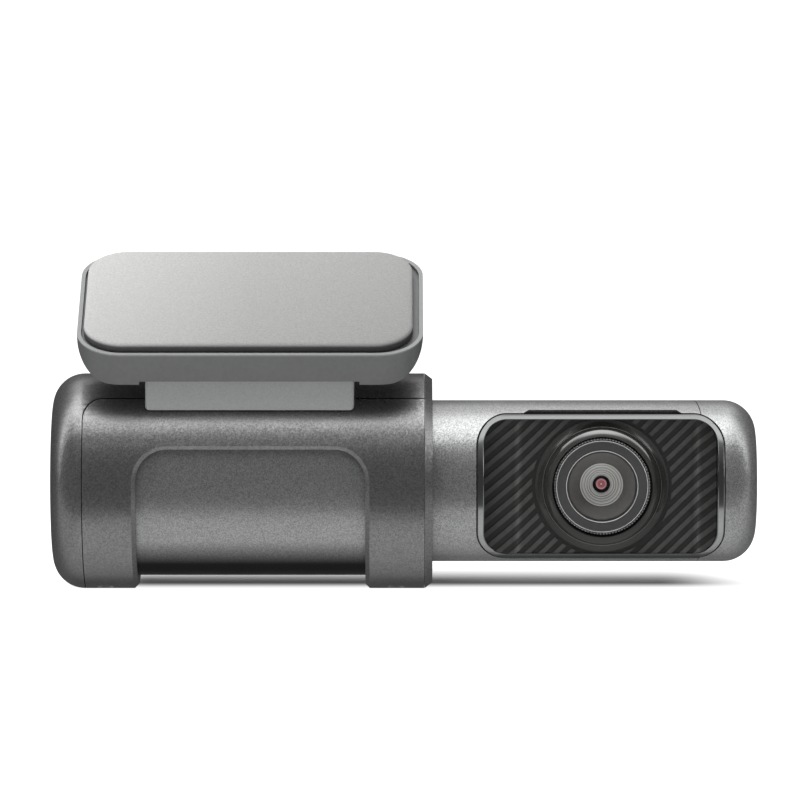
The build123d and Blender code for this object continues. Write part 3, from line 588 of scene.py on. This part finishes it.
def foam_pad():
    plo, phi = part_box("adhesive_pad")
    w = (phi[0] - plo[0]) / MM / 2 - 0.02
    # depth along the slope, from the box of a sheet 1.8 mm thick
    d = ((phi[1] - plo[1]) / MM - 1.8 * math.sin(TILT)) / math.cos(TILT) / 2 - 0.02
    mid_x = (phi[0] + plo[0]) / MM / 2
    mid_y = ((phi[1] + plo[1]) / 2 / MM - 0.9 * math.sin(TILT)) / math.cos(TILT)
    r = 6.7
    corner = 22
    ring = []
    for cxs, cys, a0 in ((w - r, d - r, 0), (-(w - r), d - r, 90), (-(w - r), -(d - r), 180), (w - r, -(d - r), 270)):
        for i in range(corner + 1):
            a = math.radians(a0 + 90 * i / corner)
            ring.append((cxs + r * math.cos(a), cys + r * math.sin(a)))
    # the straight runs get points too
    pts = []
    for k in range(len(ring)):
        x0, y0 = ring[k]
        x1, y1 = ring[(k + 1) % len(ring)]
        n = max(1, int(math.hypot(x1 - x0, y1 - y0) / 0.7))
        for i in range(n):
            pts.append((x0 + (x1 - x0) * i / n, y0 + (y1 - y0) * i / n))
    bm = bmesh.new()
    # (shrink, height) of each loop from the floor of the tray up and in
    loops = [(1.0, -1.78), (0.0, -1.70), (0.0, -0.55), (0.06, -0.32), (0.20, -0.14), (0.42, -0.05), (0.8, -0.015)]
    rows = []
    for sh, h in loops:
        row = []
        for x, y in pts:
            # inward by sh mm, towards the middle of the rounded rectangle
            ix = max(-(w - r), min(w - r, x))
            iy = max(-(d - r), min(d - r, y))
            dx, dy = x - ix, y - iy
            q = math.hypot(dx, dy) or 1.0
            row.append(bm.verts.new(PU * ((mid_x + x - dx / q * sh) * MM) + PV * ((mid_y + y - dy / q * sh) * MM) + PN * (h * MM)))
        rows.append(row)
    # the top face closes in on the middle
    last = [(v.co.copy()) for v in rows[-1]]
    hub = PU * (mid_x * MM) + PV * (mid_y * MM) + PN * (-0.015 * MM)
    for t in (0.93, 0.84, 0.72, 0.58, 0.42, 0.25, 0.10):
        rows.append([bm.verts.new(hub + (co - hub) * t) for co in last])
    for a, b in zip(rows, rows[1:]):
        for i in range(len(pts)):
            j = (i + 1) % len(pts)
            bm.faces.new((a[i], a[j], b[j], b[i]))
    bm.faces.new(rows[-1])
    bm.faces.new(list(reversed(rows[0])))
    bmesh.ops.recalc_face_normals(bm, faces=bm.faces)
    me = bpy.data.meshes.new("foam_pad_finish")
    bm.to_mesh(me)
    bm.free()
    for p in me.polygons:
        p.use_smooth = True
    me.set_sharp_from_angle(angle=math.radians(50))
    me.materials.append(M["foam_pad"])
    o = bpy.data.objects.new("foam_pad_finish", me)
    scene.collection.objects.link(o)
    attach(o, "mount")
    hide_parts("adhesive_pad")
    return o


foam_pad()

# ---------------------------------------------------------------------------
# stage, light, camera
# ---------------------------------------------------------------------------
lo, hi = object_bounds()
FLOOR_Z = lo[2] - 0.0001
bpy.ops.mesh.primitive_plane_add(size=60.0, location=(0, 20, FLOOR_Z))
floor = bpy.context.object
floor.name = "floor"
fl = Mat("floor_white", (0.36, 0.36, 0.36), 0.0, 0.9)
fl.b.inputs["Specular IOR Level"].default_value = 0.0
fl.b.inputs["Emission Color"].default_value = (1, 1, 1, 1)
geo_n = fl.t.nodes.new("ShaderNodeNewGeometry")
sep_n = fl.t.nodes.new("ShaderNodeSeparateXYZ")
fl.link(geo_n.outputs["Position"], sep_n.inputs[0])
oy = fl.calc("SUBTRACT", sep_n.outputs["Y"], float(AX.y))
ox = fl.calc("SUBTRACT", fl.calc("ABSOLUTE", fl.calc("SUBTRACT", sep_n.outputs["X"], float((lo[0] + hi[0]) / 2)), 0.0),
             float((hi[0] - lo[0]) / 2))
# painted shadow: the floor's emission drops in a soft band just behind the object, leaving a shadow there, and lights
# the rest of the floor evenly white
painted_shadow_band = fl.calc("MULTIPLY", fl.spread(oy, 0.0, 1.0, -0.001, 0.010, soft=True),
               fl.spread(oy, 1.0, 0.0, 0.014, 0.042, soft=True))
painted_shadow_band = fl.calc("MULTIPLY", painted_shadow_band, fl.spread(ox, 1.0, 0.0, -0.016, 0.003, soft=True))
fl.link(fl.spread(painted_shadow_band, 1.0, 0.02), fl.b.inputs["Emission Strength"])
floor.data.materials.append(fl.m)
floor.visible_glossy = False

world = bpy.data.worlds.new("studio")
scene.world = world
world.use_nodes = True
wt = world.node_tree
for n in list(wt.nodes):
    wt.nodes.remove(n)


def wn(kind, **kw):
    n = wt.nodes.new(kind)
    for k, v in kw.items():
        setattr(n, k, v)
    return n


out = wn("ShaderNodeOutputWorld")
tc = wn("ShaderNodeTexCoord")
sep = wn("ShaderNodeSeparateXYZ")
wt.links.new(tc.outputs["Generated"], sep.inputs["Vector"])
# angle of the direction in the Y-Z plane: 0 = towards the front horizon, 90 = straight up, -90 = down
at = wn("ShaderNodeMath", operation="ARCTAN2")
neg = wn("ShaderNodeMath", operation="MULTIPLY")
neg.inputs[1].default_value = -1.0
wt.links.new(sep.outputs["Y"], neg.inputs[0])
wt.links.new(sep.outputs["Z"], at.inputs[0])
wt.links.new(neg.outputs[0], at.inputs[1])
rng = wn("ShaderNodeMapRange")
rng.inputs["From Min"].default_value = -math.pi
rng.inputs["From Max"].default_value = math.pi
wt.links.new(at.outputs[0], rng.inputs["Value"])
ramp = wn("ShaderNodeValToRGB")
wt.links.new(rng.outputs["Result"], ramp.inputs["Fac"])
ramp.color_ramp.interpolation = "EASE"
STOPS = [(-180, 0.02), (-150, 0.03), (-130, 0.02), (-112, 0.13), (-90, 0.19), (-62, 0.24), (-38, 0.23), (-31, 0.045), (-12, 0.032), (22, 0.036),
         (45, 0.09), (60, 0.20), (67, 0.85), (80, 1.05), (105, 0.98), (118, 0.38), (136, 0.34), (150, 0.06), (180, 0.02)]
# towards the two ends the overhead light is a narrow strip
SIDE = [(-180, 0.02), (-150, 0.03), (-128, 0.06), (-112, 0.13), (-90, 0.18), (-62, 0.19), (-38, 0.15), (-31, 0.05), (-12, 0.035), (30, 0.045),
        (52, 0.04), (66, 0.08), (78, 0.55), (92, 0.90), (103, 0.45), (115, 0.08), (150, 0.03), (180, 0.02)]


def stops(node, rows):
    els = node.color_ramp.elements
    while len(els) > 1:
        els.remove(els[0])
    els[0].position = (rows[0][0] + 180) / 360
    els[0].color = (rows[0][1],) * 3 + (1,)
    for deg, v in rows[1:]:
        e = els.new((deg + 180) / 360)
        e.color = (v, v, v, 1)


stops(ramp, STOPS)
ramp_s = wn("ShaderNodeValToRGB")
ramp_s.color_ramp.interpolation = "EASE"
wt.links.new(rng.outputs["Result"], ramp_s.inputs["Fac"])
stops(ramp_s, SIDE)
absx = wn("ShaderNodeMath", operation="ABSOLUTE")
wt.links.new(sep.outputs["X"], absx.inputs[0])
endw = wn("ShaderNodeMapRange", interpolation_type="SMOOTHSTEP")
endw.inputs["From Min"].default_value = 0.15
endw.inputs["From Max"].default_value = 0.55
wt.links.new(absx.outputs[0], endw.inputs["Value"])
mixr = wn("ShaderNodeMix", data_type="RGBA")
wt.links.new(endw.outputs["Result"], mixr.inputs["Factor"])
wt.links.new(ramp.outputs["Color"], mixr.inputs["A"])
wt.links.new(ramp_s.outputs["Color"], mixr.inputs["B"])
bg_gloss = wn("ShaderNodeBackground")
bg_gloss.inputs["Strength"].default_value = 3.4
wt.links.new(mixr.outputs["Result"], bg_gloss.inputs["Color"])
bg_fill = wn("ShaderNodeBackground")
bg_fill.inputs["Color"].default_value = (1, 1, 1, 1)
bg_fill.inputs["Strength"].default_value = 0.42
bg_cam = wn("ShaderNodeBackground")
bg_cam.inputs["Color"].default_value = (1, 1, 1, 1)
bg_cam.inputs["Strength"].default_value = 1.0
lp = wn("ShaderNodeLightPath")
mix1 = wn("ShaderNodeMixShader")
wt.links.new(lp.outputs["Is Glossy Ray"], mix1.inputs["Fac"])
wt.links.new(bg_fill.outputs[0], mix1.inputs[1])
wt.links.new(bg_gloss.outputs[0], mix1.inputs[2])
mix2 = wn("ShaderNodeMixShader")
wt.links.new(lp.outputs["Is Camera Ray"], mix2.inputs["Fac"])
wt.links.new(mix1.outputs[0], mix2.inputs[1])
wt.links.new(bg_cam.outputs[0], mix2.inputs[2])
wt.links.new(mix2.outputs[0], out.inputs["Surface"])


def area(name, loc, target, size, watts, size_y=None):
    d = bpy.data.lights.new(name, "AREA")
    d.shape = "RECTANGLE"
    d.size = size
    d.size_y = size_y or size
    d.energy = watts
    o = bpy.data.objects.new(name, d)
    scene.collection.objects.link(o)
    o.location = loc
    o.rotation_euler = (Vector(target) - Vector(loc)).to_track_quat("-Z", "Y").to_euler()
    o.visible_glossy = False
    return o


mid = (Vector(lo) + Vector(hi)) / 2
area("top_soft", (mid.x - 0.25, -0.15, 0.75), mid, 0.7, 8.2)

# camera: long lens, a little above level
PX = 0.1675 * MM
ELEV = 4.0
DIST = 1.1
core_lo, core_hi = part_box("end_cap_spine")
end_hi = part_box("barrel_end_cap")[1]
left, right = core_lo.x, end_hi.x
span = (right - left) / 701.2
target = Vector((left + (400 - 53.7) * span, AX.y, AX.z + (480.9 - 400) * span))
cam_d = bpy.data.cameras.new("camera")
cam = bpy.data.objects.new("camera", cam_d)
scene.collection.objects.link(cam)
e = math.radians(ELEV)
cam.location = target + Vector((0, -math.cos(e), math.sin(e))) * DIST
cam.rotation_euler = (target - cam.location).to_track_quat("-Z", "Y").to_euler()
cam_d.sensor_width = 36.0
cam_d.lens = 36.0 * DIST / (800 * span)
cam_d.clip_start = 0.05
cam_d.clip_end = 100
scene.camera = cam
